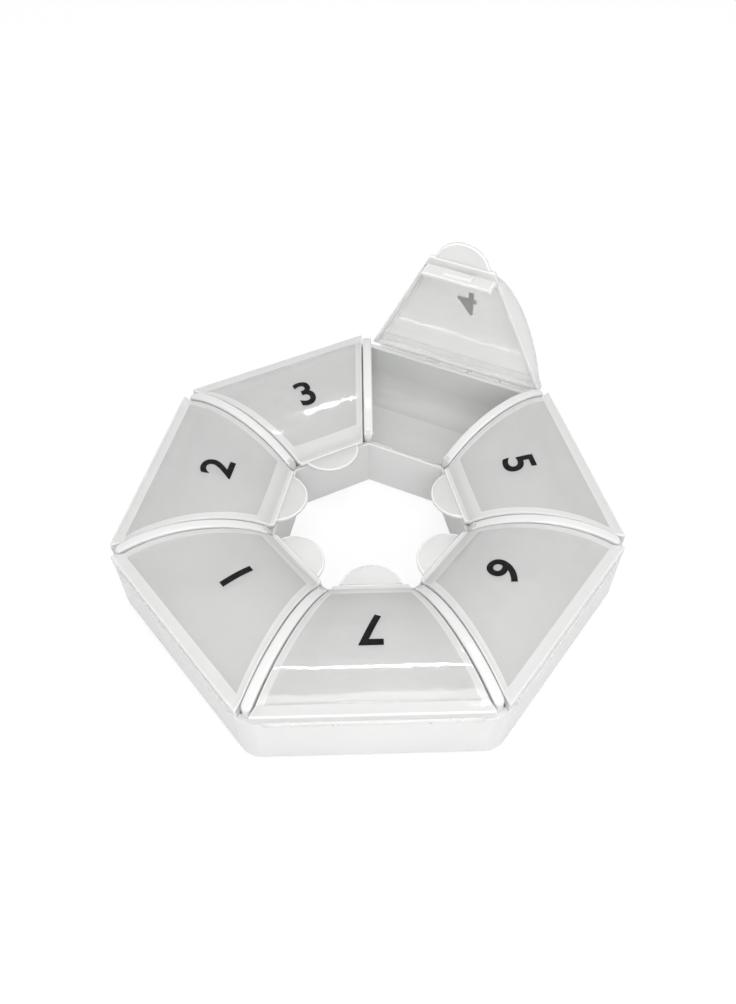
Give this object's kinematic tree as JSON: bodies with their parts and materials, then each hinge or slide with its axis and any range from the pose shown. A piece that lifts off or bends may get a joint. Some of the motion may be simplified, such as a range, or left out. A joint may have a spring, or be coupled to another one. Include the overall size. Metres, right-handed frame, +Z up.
{
  "type": "weekly pill box",
  "caption": "Seven-sided ring-shaped translucent pill box with a finger hole and an arched, hinged lid with thumb tab on every compartment.",
  "frame": {"origin": "under the middle of the whole box at rest, on the surface it stands on, with the open lid counted", "axes": "+Z up; -Y faces the seventh day's side, which is parallel to X; the sides follow clockwise seen from above"},
  "size_m": [0.1164, 0.1178, 0.0553],
  "materials": {
    "tray_plastic": "milky translucent polypropylene, satin gloss",
    "lid_plastic": "milky translucent polypropylene, glossy outside",
    "web_plastic": "thin flexible polypropylene, whitened by bending",
    "number_ink": "black pad print"
  },
  "bodies": {
    "tray": {"base_tray": "tray_plastic", "hinge_web_sunday": "web_plastic", "hinge_web_monday": "web_plastic", "hinge_web_tuesday": "web_plastic", "hinge_web_wednesday": "web_plastic", "hinge_web_thursday": "web_plastic", "hinge_web_friday": "web_plastic", "hinge_web_saturday": "web_plastic"},
    "sunday_lid": {"lid_sunday": "lid_plastic"},
    "monday_lid": {"lid_monday": "lid_plastic"},
    "tuesday_lid": {"lid_tuesday": "lid_plastic"},
    "wednesday_lid": {"lid_wednesday": "lid_plastic"},
    "thursday_lid": {"lid_thursday": "lid_plastic"},
    "friday_lid": {"lid_friday": "lid_plastic"},
    "saturday_lid": {"lid_saturday": "lid_plastic"}
  },
  "joints": [
    {"name": "sunday_hinge", "type": "hinge", "parent": "tray", "child": "sunday_lid", "pos_m": [-0.04238, -0.03804, 0.01645], "axis": [0.6235, -0.7818, 0], "range_deg": [0, 170], "deforming": ["hinge_web_sunday"]},
    {"name": "monday_hinge", "type": "hinge", "parent": "tray", "child": "monday_lid", "pos_m": [-0.05285, 0.00783, 0.01645], "axis": [-0.2225, -0.9749, 0], "range_deg": [0, 170], "deforming": ["hinge_web_monday"]},
    {"name": "tuesday_hinge", "type": "hinge", "parent": "tray", "child": "tuesday_lid", "pos_m": [-0.02352, 0.0446, 0.01645], "axis": [-0.901, -0.4339, 0], "range_deg": [0, 170], "deforming": ["hinge_web_tuesday"]},
    {"name": "wednesday_hinge", "type": "hinge", "parent": "tray", "child": "wednesday_lid", "pos_m": [0.02352, 0.0446, 0.01645], "axis": [-0.901, 0.4339, 0], "range_deg": [-93, 77], "deforming": ["hinge_web_wednesday"]},
    {"name": "thursday_hinge", "type": "hinge", "parent": "tray", "child": "thursday_lid", "pos_m": [0.05285, 0.00783, 0.01645], "axis": [-0.2225, 0.9749, 0], "range_deg": [0, 170], "deforming": ["hinge_web_thursday"]},
    {"name": "friday_hinge", "type": "hinge", "parent": "tray", "child": "friday_lid", "pos_m": [0.04238, -0.03804, 0.01645], "axis": [0.6235, 0.7818, 0], "range_deg": [0, 170], "deforming": ["hinge_web_friday"]},
    {"name": "saturday_hinge", "type": "hinge", "parent": "tray", "child": "saturday_lid", "pos_m": [0, -0.05845, 0.01645], "axis": [1, 0, 0], "range_deg": [0, 170], "deforming": ["hinge_web_saturday"]}
  ]
}
